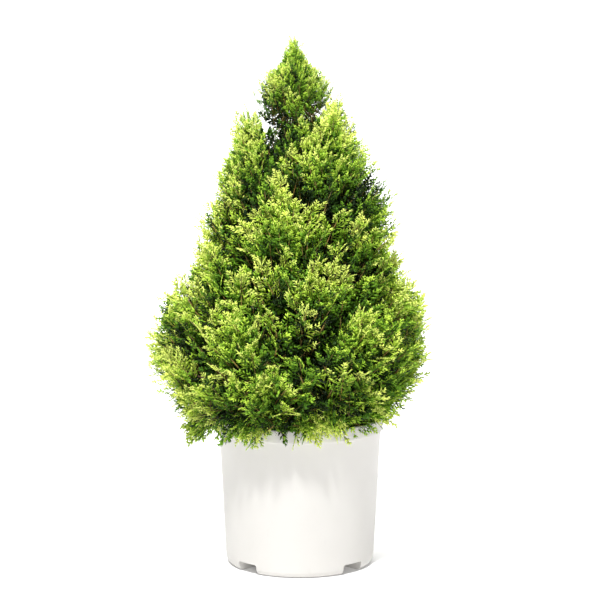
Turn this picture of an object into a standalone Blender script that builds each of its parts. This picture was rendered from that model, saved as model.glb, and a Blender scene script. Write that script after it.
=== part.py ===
"""A young false cypress in a white nursery pot, at its real size.

Metres, +Z up. The origin is the middle of the pot's underside, and -Y is the side that the plant shows to its front.
The trunk stands whole from the potting mix to the base of its leader. Boughs leave it in rings, and each bough or
trunk bears masses of foliage: a stem, twigs that branch from it by a seeded rule, toothed sprays and a slim core.
"""

from math import cos, pi, radians, sin, tan

import bmesh
import bpy
import numpy as np
from mathutils import Matrix, Vector

# Pot
POT_HEIGHT = 0.248
RIM_RADIUS = 0.1397
RIM_BAND = 0.0215
RIM_ROUND = 0.0025
WALL_TOP_RADIUS = 0.1355
BASE_RADIUS = 0.1236
BASE_ROUND = 0.012
WALL = 0.0025
FLOOR = 0.003
CHANNEL_WIDTH = 0.042
CHANNEL_HEIGHT = 0.017
CHANNEL_INNER_END = 0.034
CHANNEL_ROUND = 0.004
CHANNEL_ANGLES = (45, 135, 225, 315)
DRAIN_RADIUS = 0.007
DRAIN_REACH = 0.088
POT_SIDES = 40

# Potting mix
MIX_HEIGHT = 0.222
MIX_CROWNING = 0.004
CLEARANCE = 0.0003

# Trunk
TRUNK_TOP = 0.770
TRUNK_BASE_RADIUS = 0.0085
TRUNK_TIP_RADIUS = 0.0022
FLARE_RADIUS = 0.0145
FLARE_HEIGHT = 0.020
TRUNK_LEAN = -0.010
TRUNK_SWAY = 0.004
TRUNK_POINTS = 12

# Crown outline, as heights and how far foliage reaches from the crown's own middle line, which leans to the left
CROWN_OUTLINE = (
    (0.200, 0.148), (0.240, 0.172), (0.274, 0.192), (0.308, 0.216), (0.342, 0.232), (0.376, 0.240),
    (0.410, 0.236), (0.443, 0.224), (0.477, 0.210), (0.510, 0.186), (0.544, 0.174), (0.593, 0.165),
    (0.627, 0.152), (0.660, 0.138), (0.693, 0.125), (0.725, 0.108), (0.758, 0.097), (0.791, 0.078),
    (0.824, 0.060), (0.845, 0.032), (0.860, 0.018), (0.880, 0.006),
)
CROWN_MIDDLE = ((0.20, -0.022), (0.40, -0.018), (0.50, -0.008), (0.62, -0.003), (0.70, -0.002), (0.88, -0.011))

# Limbs. A ring's limbs leave the trunk at attach and end inside the outline at the height tip.
# bend lifts the middle of a limb above the straight line, or drops it where it is negative. lift turns its sprays up.
RINGS = (
    dict(name="skirt", count=7, first=22, attach=0.241, tip=0.236, bend=0.040, bough=0.44, lift=-1.0, sprays=90),
    dict(name="lower", count=7, first=-4, attach=0.268, tip=0.345, bend=-0.012, bough=0.42, lift=0.35, sprays=40),
    dict(name="middle", count=6, first=30, attach=0.305, tip=0.452, bend=-0.024, bough=0.42, lift=0.70, sprays=60),
    dict(name="upper", count=5, first=88, attach=0.385, tip=0.556, bend=-0.028, bough=0.0, lift=0.95, sprays=70),
    dict(name="shoulder", count=4, first=76, attach=0.478, tip=0.662, bend=-0.028, bough=0.0, lift=1.2, sprays=58),
    dict(name="neck", count=3, first=-72, attach=0.580, tip=0.760, bend=-0.020, bough=0.0, lift=1.5, sprays=44),
)
LEADER_TIP = 0.880
LEADER_LEAN = -0.011
LEADER_LIFT = 1.1
LEADER_SPRAYS = 18
TIP_REACH = 0.93
AZIMUTH_JITTER = 5
ATTACH_SPREAD = 0.014
TIP_JITTER = 0.010
STEM_END = 0.86
FOLIAGE_START = 0.36
BOUGH_BASE_RADIUS = 0.0038
BOUGH_TIP_RADIUS = 0.0026
BOUGH_POINTS = 5
STEM_TIP_RADIUS = 0.0012
STEM_GAP = 0.0009
STEM_SINK = 0.025
GOLDEN_ANGLE = 137.508
SEED = 11

# Foliage
TWIG_EVERY = 3
TWIG_RADIUS = 0.0017
SPRAY_LENGTH = 0.078
SPRAY_WIDTH = 0.50
SPRAY_THICKNESS = 0.03
SPRAY_DROOP = 0.14
SPRAY_SIZES = (1.0, 0.84, 0.7, 0.56)
LEADER_SPRAY_SIZES = (0.70, 0.56, 0.46, 0.38)
CORE_FILL = 0.66
LEADER_CORE_FILL = 0.34
CORE_SIDES = 8
CORE_RINGS = 5
RAY_STEP = 0.002
JOIN_WELD = 0.000004
SPACE_MARGIN = 0.0024
LIMB_MARGIN = 0.0060

# A spray's outline as shares of its length and its width: the root, a tooth and the hollow after it, and the tip.
SPRAY_OUTLINE = ((0.0, 0.06), (0.56, 0.46), (0.58, 0.17), (1.0, 0.0))
SPRAY_MIDDLE = 0.42

COLOURS = {
    "pot": ((0.86, 0.85, 0.83), 0.42),
    "potting_mix": ((0.055, 0.036, 0.025), 0.95),
    "bark": ((0.155, 0.088, 0.056), 0.85),
    "foliage": ((0.235, 0.395, 0.052), 0.55),
}


def clear_scene():
    for obj in list(bpy.data.objects):
        bpy.data.objects.remove(obj)


def material(name):
    found = bpy.data.materials.get(name)
    if found:
        return found
    colour, roughness = COLOURS[name]
    made = bpy.data.materials.new(name)
    made.use_nodes = True
    shader = made.node_tree.nodes["Principled BSDF"]
    shader.inputs["Base Color"].default_value = (*colour, 1.0)
    shader.inputs["Roughness"].default_value = roughness
    shader.inputs["Metallic"].default_value = 0.0
    return made


def collection(name, hidden=False):
    made = bpy.data.collections.new(name)
    made.hide_render = hidden
    bpy.context.scene.collection.children.link(made)
    return made


def object_from(name, data, home, finish=None):
    obj = bpy.data.objects.new(name, data)
    home.objects.link(obj)
    if finish:
        data.materials.append(material(finish))
    return obj


def as_cutter(obj):
    obj.hide_render = True
    obj.display_type = "WIRE"
    return obj


def evaluated_mesh(obj, weld=False):
    """The object's shape as a mesh with its modifiers applied. weld closes the seams that a curve's caps leave."""
    bpy.context.view_layer.update()
    mesh = bpy.data.meshes.new_from_object(obj.evaluated_get(bpy.context.evaluated_depsgraph_get()))
    if weld:
        shape = bmesh.new()
        shape.from_mesh(mesh)
        bmesh.ops.remove_doubles(shape, verts=shape.verts, dist=1e-6)
        shape.to_mesh(mesh)
        shape.free()
    return mesh


def subtract(obj, cutter, name):
    cut = obj.modifiers.new(name, "BOOLEAN")
    cut.operation = "DIFFERENCE"
    cut.object = cutter


# Pot and potting mix


def wall_radius(z):
    """Outer radius of the pot's wall at a height."""
    return BASE_RADIUS + (WALL_TOP_RADIUS - BASE_RADIUS) * z / (POT_HEIGHT - RIM_BAND)


def turned(name, profile, home, finish=None):
    """A solid of revolution. The profile runs from the axis outwards at the top, down, and back to the axis."""
    mesh = bpy.data.meshes.new(name)
    count = len(profile)
    mesh.from_pydata([(r, 0, z) for r, z in profile], [(i, i + 1) for i in range(count - 1)], [])
    obj = object_from(name, mesh, home, finish)
    screw = obj.modifiers.new("turn", "SCREW")
    screw.steps = screw.render_steps = POT_SIDES
    screw.use_merge_vertices = True
    screw.merge_threshold = 0.00005
    return obj


def pot_profile():
    under_rim = POT_HEIGHT - RIM_BAND
    corner = wall_radius(BASE_ROUND)
    base = [
        (corner - BASE_ROUND * (1 - cos(radians(a))), BASE_ROUND * (1 - sin(radians(a))))
        for a in (0, 30, 60, 90)
    ]
    return [
        (0, POT_HEIGHT),
        (RIM_RADIUS - RIM_ROUND, POT_HEIGHT),
        (RIM_RADIUS, POT_HEIGHT - RIM_ROUND),
        (RIM_RADIUS - 0.0006, under_rim + RIM_ROUND / 2),
        (WALL_TOP_RADIUS + 0.001, under_rim - RIM_ROUND / 2),
        *base,
        (0, 0),
    ]


def inside_profile(top, floor, gap, crowning=0.0):
    """The pot's inside up to a height, taken in by a gap. Crowning heaps its top towards the middle."""
    side = WALL + gap
    corner = wall_radius(floor + BASE_ROUND) - side
    return [
        (0, top + crowning),
        (FLARE_RADIUS * 2, top + crowning),
        (wall_radius(top) - side, top),
        (corner, floor + BASE_ROUND),
        (corner - BASE_ROUND * 0.7, floor + gap),
        (0, floor + gap),
    ]


def channel_blocks(name, grown, home):
    """The four radial drain channels under the pot, as one closed block, grown by a wall where the inside is cut."""
    shape = bmesh.new()
    length = RIM_RADIUS + 0.03 - CHANNEL_INNER_END
    size = (length + grown, CHANNEL_WIDTH + 2 * grown, 2 * (CHANNEL_HEIGHT + grown))
    for angle in CHANNEL_ANGLES:
        middle = CHANNEL_INNER_END - grown + size[0] / 2
        place = Matrix.Rotation(radians(angle), 4, "Z") @ Matrix.Translation((middle, 0, 0))
        bmesh.ops.create_cube(shape, size=1, matrix=place @ Matrix.Diagonal((*size, 1)))
    mesh = bpy.data.meshes.new(name)
    shape.to_mesh(mesh)
    shape.free()
    obj = as_cutter(object_from(name, mesh, home))
    rounding = obj.modifiers.new("round", "BEVEL")
    rounding.width = CHANNEL_ROUND
    rounding.segments = 2
    return obj


def drain_holes(home):
    shape = bmesh.new()
    for angle in CHANNEL_ANGLES:
        spot = Matrix.Rotation(radians(angle), 4, "Z") @ Matrix.Translation((DRAIN_REACH, 0, CHANNEL_HEIGHT))
        bmesh.ops.create_cone(
            shape, cap_ends=True, segments=10, radius1=DRAIN_RADIUS, radius2=DRAIN_RADIUS, depth=0.02, matrix=spot
        )
    mesh = bpy.data.meshes.new("drain_holes")
    shape.to_mesh(mesh)
    shape.free()
    return as_cutter(object_from("drain_holes", mesh, home))


def make_pot(home, cutters):
    pot = turned("pot", pot_profile(), home, "pot")
    inside = as_cutter(turned("pot_inside", inside_profile(POT_HEIGHT + 0.01, FLOOR, 0.0), cutters))
    subtract(inside, channel_blocks("channel_walls", WALL, cutters), "keep_channel_walls")
    subtract(pot, channel_blocks("channels", 0.0, cutters), "channels")
    subtract(pot, inside, "inside")
    subtract(pot, drain_holes(cutters), "drains")
    pot.data.shade_smooth()
    return pot


def make_mix(home, cutters):
    mix = turned("potting_mix", inside_profile(MIX_HEIGHT, FLOOR, CLEARANCE, MIX_CROWNING), home, "potting_mix")
    subtract(mix, channel_blocks("channel_room", WALL + CLEARANCE, cutters), "channels")
    return mix


# Limbs


def towards(azimuth):
    """Level direction of an azimuth in degrees: 0 is the front, 90 is the right."""
    return np.array([sin(radians(azimuth)), -cos(radians(azimuth)), 0.0])


def unit(vector):
    return vector / np.linalg.norm(vector)


def trunk_centre(z):
    share = (z - MIX_HEIGHT) / (TRUNK_TOP - MIX_HEIGHT)
    return np.array([TRUNK_LEAN * share + TRUNK_SWAY * sin(2 * pi * share), TRUNK_SWAY * sin(pi * share), z])


def trunk_radius(z):
    share = (z - MIX_HEIGHT) / (TRUNK_TOP - MIX_HEIGHT)
    flare = (FLARE_RADIUS - TRUNK_BASE_RADIUS) * max(0.0, 1 - (z - MIX_HEIGHT) / FLARE_HEIGHT) ** 2
    return TRUNK_BASE_RADIUS + (TRUNK_TIP_RADIUS - TRUNK_BASE_RADIUS) * share**0.8 + flare


def limb(name, points, radii, home, finish, sides_step):
    """A round tapering limb along its centre points. sides_step 1 gives six sides, and 2 gives eight."""
    curve = bpy.data.curves.new(name, "CURVE")
    curve.dimensions = "3D"
    curve.bevel_depth = 1.0
    curve.bevel_resolution = sides_step
    curve.use_fill_caps = True
    spline = curve.splines.new("POLY")
    spline.points.add(len(points) - 1)
    for point, centre, radius in zip(spline.points, points, radii):
        point.co = (*centre, 1.0)
        point.radius = radius
    return object_from(name, curve, home, finish)


def make_trunk(home):
    start = MIX_HEIGHT + MIX_CROWNING + CLEARANCE
    heights = [start, start + FLARE_HEIGHT / 3, start + FLARE_HEIGHT]
    heights += list(np.linspace(start + FLARE_HEIGHT, TRUNK_TOP, TRUNK_POINTS - 2)[1:])
    centres = [trunk_centre(z) for z in heights]
    centres[0] = trunk_centre(heights[1]) * (1, 1, 0) + (0, 0, start)
    return limb("trunk", centres, [trunk_radius(z) for z in heights], home, "bark", 2)


class Limb:
    """The line that a bough and its foliage's stem follow together, from the trunk to the foliage's tip."""

    def __init__(self, name, start, tip, bend, bough, lift, sprays):
        self.name = name
        self.start = start
        self.tip = tip
        self.control = (start + tip) / 2 + np.array([0, 0, 2 * bend])
        self.bough = bough
        self.lift = lift
        self.sprays = sprays
        self.at_trunk = not bough and name != "leader"
        self.twig_every, self.spray_sizes, self.core_fill = TWIG_EVERY, SPRAY_SIZES, CORE_FILL
        if name == "leader":
            self.twig_every, self.spray_sizes, self.core_fill = 1, LEADER_SPRAY_SIZES, LEADER_CORE_FILL

    def at(self, share):
        s = share
        return (1 - s) ** 2 * self.start + 2 * s * (1 - s) * self.control + s * s * self.tip

    def slope(self, share):
        return 2 * ((1 - share) * (self.control - self.start) + share * (self.tip - self.control))

    def direction(self, share):
        return unit(self.slope(share))

    def pace(self, share):
        """Length of line for each unit of share."""
        return np.linalg.norm(self.slope(share))

    def radius(self, share):
        base = BOUGH_BASE_RADIUS * min(1.0, 0.35 + 3.0 * np.linalg.norm(self.tip - self.start))
        if share < self.bough:
            return base + (BOUGH_TIP_RADIUS - base) * share / self.bough
        first = BOUGH_TIP_RADIUS if self.bough else min(BOUGH_TIP_RADIUS, base)
        return first + (STEM_TIP_RADIUS - first) * (share - self.bough) / (1 - self.bough)

    def middle(self):
        return self.at(0.5 * (self.foliage_start() + 1))

    def foliage_start(self):
        return self.bough + 0.05 if self.bough else (FOLIAGE_START if self.at_trunk else 0.12)


def crown_radius(z):
    """How far foliage reaches from the crown's middle line at a height."""
    heights, reaches = zip(*CROWN_OUTLINE)
    return np.interp(z, heights, reaches)


def crown_middle(z):
    heights, places = zip(*CROWN_MIDDLE)
    return np.interp(z, heights, places)


def plan_limbs():
    """Every limb of the crown, ring by ring, with its seeded share of variation."""
    rng = np.random.default_rng(SEED)
    limbs = []
    for ring in RINGS:
        for k in range(ring["count"]):
            turn, lower = rng.uniform(-1, 1, 2)
            out = towards(ring["first"] + 360 * k / ring["count"] + AZIMUTH_JITTER * turn)
            attach = ring["attach"] + ATTACH_SPREAD * ((k * 0.618) % 1)
            start = trunk_centre(attach) + out * trunk_radius(attach)
            height = ring["tip"] + TIP_JITTER * lower
            tip = out * crown_radius(height) * TIP_REACH + np.array([crown_middle(height), 0, height])
            name = f"{ring['name']}_{k + 1}"
            limbs.append(Limb(name, start, tip, ring["bend"], ring["bough"], ring["lift"], ring["sprays"]))
    start = trunk_centre(TRUNK_TOP) + (0, 0, STEM_GAP)
    tip = np.array([LEADER_LEAN, 0, LEADER_TIP])
    limbs.append(Limb("leader", start, tip, 0.0, 0.0, LEADER_LIFT, LEADER_SPRAYS))
    return limbs


def trunk_room(home):
    """The room that the trunk takes, a hair wider than it, to hollow the feet of boughs and stems."""
    drawn = limb("trunk_room", *grown_trunk(), home, None, 2)
    room = object_from("trunk_room", evaluated_mesh(drawn, weld=True), home)
    bpy.data.objects.remove(drawn)
    return as_cutter(room)


def footed_limb(name, line, first, last, room, home, finish=None):
    """The stretch of a limb between two shares as a solid. One that starts at the trunk has its foot hollowed."""
    shares = np.linspace(first, last, BOUGH_POINTS)
    centres = [line.at(s) for s in shares]
    drawn = limb(name + "_line", centres, [line.radius(max(s, 0)) for s in shares], home, None, 1)
    solid = object_from(name, evaluated_mesh(drawn, weld=True), home, finish)
    bpy.data.objects.remove(drawn)
    if first < 0:
        subtract(solid, room, "foot")
        hollowed = evaluated_mesh(solid)
        solid.modifiers.clear()
        solid.data = hollowed
        keep_one_body(hollowed)
    return solid


def grown_trunk():
    heights = np.linspace(MIX_HEIGHT, TRUNK_TOP, TRUNK_POINTS)
    return [trunk_centre(z) for z in heights], [trunk_radius(z) + CLEARANCE * 1.5 for z in heights]


# Foliage


class Keeper:
    """Says whether a shape keeps to one mass's own space: nearer its middle than another's, and off limbs and pot."""

    def __init__(self, limbs):
        self.middles = np.array([line.middle() for line in limbs])
        ends, widths, owners = [], [], []

        def add(centres, radii, owner):
            points = np.array(centres)
            ends.append(np.stack([points[:-1], points[1:]], axis=1))
            widths.extend(radii[:-1])
            owners.extend([owner] * (len(points) - 1))

        for i, line in enumerate(limbs):
            if line.bough:
                shares = np.linspace(0, line.bough, 9)
                add([line.at(s) for s in shares], [line.radius(s) for s in shares], -1)
            shares = np.linspace(line.bough, STEM_END, 9)
            add([line.at(s) for s in shares], [line.radius(s) for s in shares], i)
        heights = np.linspace(MIX_HEIGHT, TRUNK_TOP, 24)
        add([trunk_centre(z) for z in heights], [trunk_radius(z) for z in heights], -1)
        self.ends = np.concatenate(ends)
        self.widths = np.array(widths)
        self.owners = np.array(owners)

    def in_space(self, owner, points):
        mine = self.middles[owner]
        others = np.delete(self.middles, owner, axis=0)
        apart = np.linalg.norm(others - mine, axis=1)
        halfway = (others + mine) / 2
        beyond = ((points[:, None] - halfway[None]) * (others - mine)[None]).sum(axis=2) / apart
        return bool((beyond < -SPACE_MARGIN).all())

    def off_limbs(self, owner, points):
        a, b = self.ends[:, 0], self.ends[:, 1]
        along = b - a
        share = ((points[:, None] - a[None]) * along[None]).sum(axis=2) / (along**2).sum(axis=1)
        nearest = a[None] + np.clip(share, 0, 1)[..., None] * along[None]
        gaps = np.linalg.norm(points[:, None] - nearest, axis=2) - self.widths
        return bool((gaps[:, self.owners != owner] > LIMB_MARGIN).all())

    def off_pot(self, points):
        level = np.hypot(points[:, 0], points[:, 1])
        over = points[:, 2] > POT_HEIGHT + 0.004
        return bool((over | (level > RIM_RADIUS + 0.004)).all())

    def reach(self, owner, root, heading):
        """How far a ray runs before it meets the crown's outline, and before it leaves the mass's own space."""
        steps = np.arange(RAY_STEP, 0.3, RAY_STEP)
        points = root + steps[:, None] * heading
        level = np.hypot(points[:, 0] - crown_middle(points[:, 2]), points[:, 1])
        beyond = (level > crown_radius(points[:, 2])) | (points[:, 2] > LEADER_TIP)
        beyond |= (points[:, 2] < POT_HEIGHT + 0.006) & (np.hypot(points[:, 0], points[:, 1]) < RIM_RADIUS + 0.006)
        beyond |= points[:, 2] < CROWN_OUTLINE[0][0]
        outline = steps[np.argmax(beyond)] if beyond.any() else steps[-1]
        others = np.delete(self.middles, owner, axis=0)
        towards_other = others - self.middles[owner]
        apart = np.linalg.norm(towards_other, axis=1)
        room = (((others + self.middles[owner]) / 2 - root) * towards_other).sum(axis=1) / apart - SPACE_MARGIN
        speed = (towards_other @ heading) / apart
        space = np.where(speed > 1e-6, room / np.maximum(speed, 1e-6), np.inf).min()
        return outline, max(space, 0.0)

    def allows(self, owner, points):
        return self.in_space(owner, points) and self.off_pot(points) and self.off_limbs(owner, points)


def across(direction, facing):
    """Sideways direction of a flat spray that points along direction and faces facing."""
    side = np.cross(facing, direction)
    return unit(side) if np.linalg.norm(side) > 1e-6 else unit(np.cross((1.0, 0.0, 0.2), direction))


def turned_about(vector, axis, degrees):
    angle = radians(degrees)
    return vector * cos(angle) + np.cross(axis, vector) * sin(angle) + axis * (axis @ vector) * (1 - cos(angle))


def spread_directions(count, turn):
    """Directions spread evenly over a whole sphere by the golden angle."""
    heights = 1 - 2 * (np.arange(count) + 0.5) / count
    angles = np.radians(GOLDEN_ANGLE * np.arange(count) + turn)
    level = np.sqrt(1 - heights**2)
    return np.stack([level * np.cos(angles), level * np.sin(angles), heights], axis=1)


def grow(owner, line, keeper):
    """The twigs and sprays of one mass: (root, direction, length) of each twig, with the face too of each spray.

    Sprays stand where the mass meets the crown's outline, tips at the outline, and turn up or down by the mass's lift.
    """
    rng = np.random.default_rng(SEED * 1000 + owner)
    twigs, sprays = [], []
    middle = line.middle()
    for k, outwards in enumerate(spread_directions(line.sprays, rng.uniform(0, 360))):
        outline, space = keeper.reach(owner, middle, outwards)
        turn, sway, scale = rng.uniform(-1, 1, 3)
        if space < outline * 0.96:
            continue
        tip = middle + outwards * outline * 0.985
        aside = unit(np.cross(outwards, (0.1, 0.0, 1.0)))
        heading = unit(outwards + np.array([0, 0, line.lift]) + aside * sway * 0.35)
        length = SPRAY_LENGTH * (1 + 0.14 * scale)
        face = turned_about(unit(outwards + np.array([0, 0, 0.4])), heading, 40 * turn)
        for size in line.spray_sizes:
            root = tip - heading * length * size
            if keeper.allows(owner, spray_points(root, heading, face, length * size)):
                sprays.append((root, heading, face, length * size))
                break
        else:
            continue
        if (len(sprays) - 1) % line.twig_every == 0:
            knot = root + heading * length * 0.3
            shares = np.linspace(line.foliage_start(), STEM_END - 0.02, 12)
            share = min(shares, key=lambda s: np.linalg.norm(knot - line.at(s) - line.direction(s) * 0.02))
            run = knot - line.at(share)
            if keeper.allows(owner, np.linspace(line.at(share) + unit(run) * 0.004, knot, 24)):
                twigs.append((line.at(share), unit(run), np.linalg.norm(run)))
    end = end_spray(owner, line, keeper)
    return twigs, end + sprays


def end_spray(owner, line, keeper):
    """The spray that carries on from the stem's end to the crown's outline, where there is room for it."""
    heading = line.direction(1)
    root = line.at(STEM_END - 0.06)
    length = keeper.reach(owner, root, heading)[0] * 0.985
    face = turned_about(across(heading, np.array([0.0, -1.0, 0.3])), heading, 90)
    fits = keeper.allows(owner, spray_points(root, heading, face, length))
    return [(root, heading, face, length)] if fits else []


def spray_frame(direction, face):
    side = across(direction, face)
    return side, unit(np.cross(direction, side))


def spray_outline():
    """The whole outline round the blade, from one side of the root to the other."""
    return list(SPRAY_OUTLINE) + [(u, -v) for u, v in reversed(SPRAY_OUTLINE[:-1])]


def spray_place(root, direction, face, length):
    """Turns shares of length, width and thickness into places in the crown, with the spray's droop."""
    side, normal = spray_frame(direction, face)

    def place(u, v, w):
        sag = np.array([0, 0, -SPRAY_DROOP * length * u * u])
        return root + direction * length * u + side * v * length * SPRAY_WIDTH + normal * w * length + sag

    return place


def spray_points(root, direction, face, length):
    """Points spread over a spray, to test the space that it takes."""
    place = spray_place(root, direction, face, length)
    points = [place(u, v, 0) for u, v in spray_outline()]
    widths = ((0.07, 0.1), (0.15, 0.15), (0.3, 0.3), (0.42, 0.42), (0.6, 0.25), (0.85, 0.05))
    points += [place(u, v * w, 0) for u, w in widths for v in (-1, -0.5, 0, 0.5, 1)]
    points += [place(SPRAY_MIDDLE, 0, SPRAY_THICKNESS * w) for w in (-0.5, 0.5)]
    return np.array(points)


def spray_solid(name, root, direction, face, length, home):
    """A toothed blade with a ridge on each face: a capped cone whose rim is drawn out to the outline."""
    outline = spray_outline()
    shape = bmesh.new()
    bmesh.ops.create_cone(
        shape, cap_ends=True, cap_tris=True, segments=len(outline), radius1=1, radius2=0, depth=2
    )
    bmesh.ops.remove_doubles(shape, verts=shape.verts, dist=1e-5)
    place = spray_place(root, direction, face, length)
    rim = sorted((v for v in shape.verts if v.co.xy.length > 0.5), key=lambda v: np.arctan2(v.co.y, v.co.x))
    for vertex, (u, v) in zip(rim, outline):
        vertex.tag = True
        vertex.co = place(u, v, 0)
    for vertex in shape.verts:
        if not vertex.tag:
            vertex.co = place(SPRAY_MIDDLE, 0, SPRAY_THICKNESS * (0.5 if vertex.co.z > 0 else -0.5))
    if shape.calc_volume(signed=True) < 0:
        bmesh.ops.reverse_faces(shape, faces=shape.faces)
    mesh = bpy.data.meshes.new(name)
    shape.to_mesh(mesh)
    shape.free()
    return object_from(name, mesh, home)


def twig_solid(name, root, direction, length, home):
    """A three-sided twig that tapers from inside the stem to its tip."""
    shape = bmesh.new()
    turn = Vector(direction).to_track_quat("Z", "Y").to_matrix().to_4x4()
    place = Matrix.Translation(Vector(root + direction * length / 2)) @ turn
    bmesh.ops.create_cone(
        shape, cap_ends=True, segments=3, radius1=TWIG_RADIUS, radius2=TWIG_RADIUS * 0.6, depth=length, matrix=place
    )
    mesh = bpy.data.meshes.new(name)
    shape.to_mesh(mesh)
    shape.free()
    return object_from(name, mesh, home)


def core_solid(name, owner, line, keeper, home):
    """The dense heart of a mass: a ball drawn out towards the crown's outline and the edges of the mass's space."""
    shape = bmesh.new()
    bmesh.ops.create_uvsphere(shape, u_segments=CORE_SIDES, v_segments=CORE_RINGS, radius=1)
    middle = line.middle()
    inner = line.at(line.foliage_start())
    out = unit((line.at(1) - line.at(0)) * (1, 1, 0) + (0, 0, 0 if line.at_trunk or line.bough else 1))
    for vertex in shape.verts:
        heading = unit(np.array(vertex.co))
        outline, space = keeper.reach(owner, middle, heading)
        length = min(outline * line.core_fill, space)
        inwards = -(heading @ out)
        if inwards > 0:
            length = min(length, (middle - inner) @ out / inwards)
        vertex.co = heading * length
    bmesh.ops.triangulate(shape, faces=shape.faces)
    corners = np.array([[vertex.co for vertex in face.verts] for face in shape.faces])
    shares = np.array([(a / 6, b / 6, 1 - (a + b) / 6) for a in range(7) for b in range(7 - a)])
    skin = (shares @ corners).reshape(-1, 3)
    size = 1.0
    while size > 0.3 and not keeper.off_limbs(owner, middle + skin * size):
        size -= 0.06
    for vertex in shape.verts:
        vertex.co = vertex.co * size + Vector(middle)
    mesh = bpy.data.meshes.new(name)
    shape.to_mesh(mesh)
    shape.free()
    return object_from(name, mesh, home)


def keep_one_body(mesh):
    """Drops scraps and sealed hollows, so that the largest shell alone is left. True where that shell is closed."""
    shape = bmesh.new()
    shape.from_mesh(mesh)
    bmesh.ops.triangulate(shape, faces=shape.faces)
    bmesh.ops.remove_doubles(shape, verts=shape.verts, dist=JOIN_WELD)
    bmesh.ops.dissolve_degenerate(shape, edges=shape.edges, dist=JOIN_WELD)
    bmesh.ops.triangulate(shape, faces=shape.faces)
    shells, seen = [], set()
    for start in shape.faces:
        if start in seen:
            continue
        shell, waiting = [], [start]
        seen.add(start)
        while waiting:
            face = waiting.pop()
            shell.append(face)
            for edge in face.edges:
                for other in edge.link_faces if edge.is_contiguous else ():
                    if other not in seen:
                        seen.add(other)
                        waiting.append(other)
        shells.append(shell)
    shells.sort(key=len)
    for shell in shells[:-1]:
        bmesh.ops.delete(shape, geom=shell, context="FACES")
    closed = all(edge.is_contiguous for edge in shape.edges)
    shape.to_mesh(mesh)
    shape.free()
    return closed


def fuse(pieces):
    """Joins the overlapping pieces of a mass into one body, and removes them. None where the join isn't clean."""
    joined, *others = pieces
    group = collection("pieces")
    for piece in others:
        group.objects.link(piece)
    union = joined.modifiers.new("join", "BOOLEAN")
    union.operation = "UNION"
    union.operand_type = "COLLECTION"
    union.collection = group
    union.solver = "MANIFOLD"
    mesh = evaluated_mesh(joined)
    for piece in pieces:
        bpy.data.objects.remove(piece)
    bpy.data.collections.remove(group)
    clean = keep_one_body(mesh)
    mesh.materials.clear()
    return mesh if clean else None


def make_mass(owner, line, keeper, room, home, workshop):
    """One mass of foliage as one body. Where a join isn't clean, the mass goes without its newest spray."""
    twigs, sprays = grow(owner, line, keeper)
    begin = -STEM_SINK if line.at_trunk else line.bough + STEM_GAP / line.pace(line.bough)
    mesh = None
    while mesh is None:
        pieces = [footed_limb("stem", line, begin, STEM_END, room, workshop)]
        pieces.append(core_solid("core", owner, line, keeper, workshop))
        pieces += [twig_solid("twig", *twig, workshop) for twig in twigs]
        pieces += [spray_solid("spray", *spray, workshop) for spray in sprays]
        mesh = fuse(pieces)
        (sprays or twigs).pop()
    object_from(f"foliage_{line.name}", mesh, home, "foliage")


def main():
    clear_scene()
    home = collection("potted_false_cypress")
    cutters = collection("cutters", hidden=True)
    workshop = collection("workshop")
    make_pot(home, cutters)
    make_mix(home, cutters)
    make_trunk(home)
    limbs = plan_limbs()
    keeper = Keeper(limbs)
    room = trunk_room(workshop)
    for owner, line in enumerate(limbs):
        if line.bough:
            footed_limb(f"bough_{line.name}", line, -STEM_SINK, line.bough, room, home, "bark")
        make_mass(owner, line, keeper, room, home, workshop)
    bpy.data.objects.remove(room)
    bpy.data.collections.remove(workshop)


main()
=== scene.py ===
from math import cos, pi, radians, sin

import bmesh
import bpy
import numpy as np
from mathutils import Matrix, Vector


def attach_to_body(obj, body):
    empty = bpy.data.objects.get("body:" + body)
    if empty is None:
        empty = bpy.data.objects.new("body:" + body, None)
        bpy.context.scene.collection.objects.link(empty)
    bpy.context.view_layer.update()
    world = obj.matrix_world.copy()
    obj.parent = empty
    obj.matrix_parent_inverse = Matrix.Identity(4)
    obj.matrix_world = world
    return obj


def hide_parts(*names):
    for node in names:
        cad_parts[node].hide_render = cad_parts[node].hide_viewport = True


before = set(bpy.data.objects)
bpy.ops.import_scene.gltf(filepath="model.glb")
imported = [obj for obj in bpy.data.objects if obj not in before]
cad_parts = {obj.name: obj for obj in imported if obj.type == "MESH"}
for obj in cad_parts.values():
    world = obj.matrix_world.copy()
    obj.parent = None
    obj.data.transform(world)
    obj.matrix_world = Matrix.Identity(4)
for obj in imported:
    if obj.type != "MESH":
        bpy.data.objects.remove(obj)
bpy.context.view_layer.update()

print("frame loaded")


# shader maths: a wrapped socket, so that expressions on values add their Math nodes

class Value:
    def __init__(self, tree, socket):
        self.tree = tree
        self.socket = socket

    def math(self, operation, other, swap=False):
        node = self.tree.nodes.new("ShaderNodeMath")
        node.operation = operation
        for slot, item in zip(node.inputs, (other, self) if swap else (self, other)):
            if isinstance(item, Value):
                self.tree.links.new(item.socket, slot)
            else:
                slot.default_value = item
        return Value(self.tree, node.outputs[0])

    def __add__(self, other): return self.math("ADD", other)
    def __radd__(self, other): return self.math("ADD", other, True)
    def __mul__(self, other): return self.math("MULTIPLY", other)
    def __rmul__(self, other): return self.math("MULTIPLY", other, True)


colourMix = dict(factor=0, first=6, second=7, result=2)  # places of a Mix node's colour sockets


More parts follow.
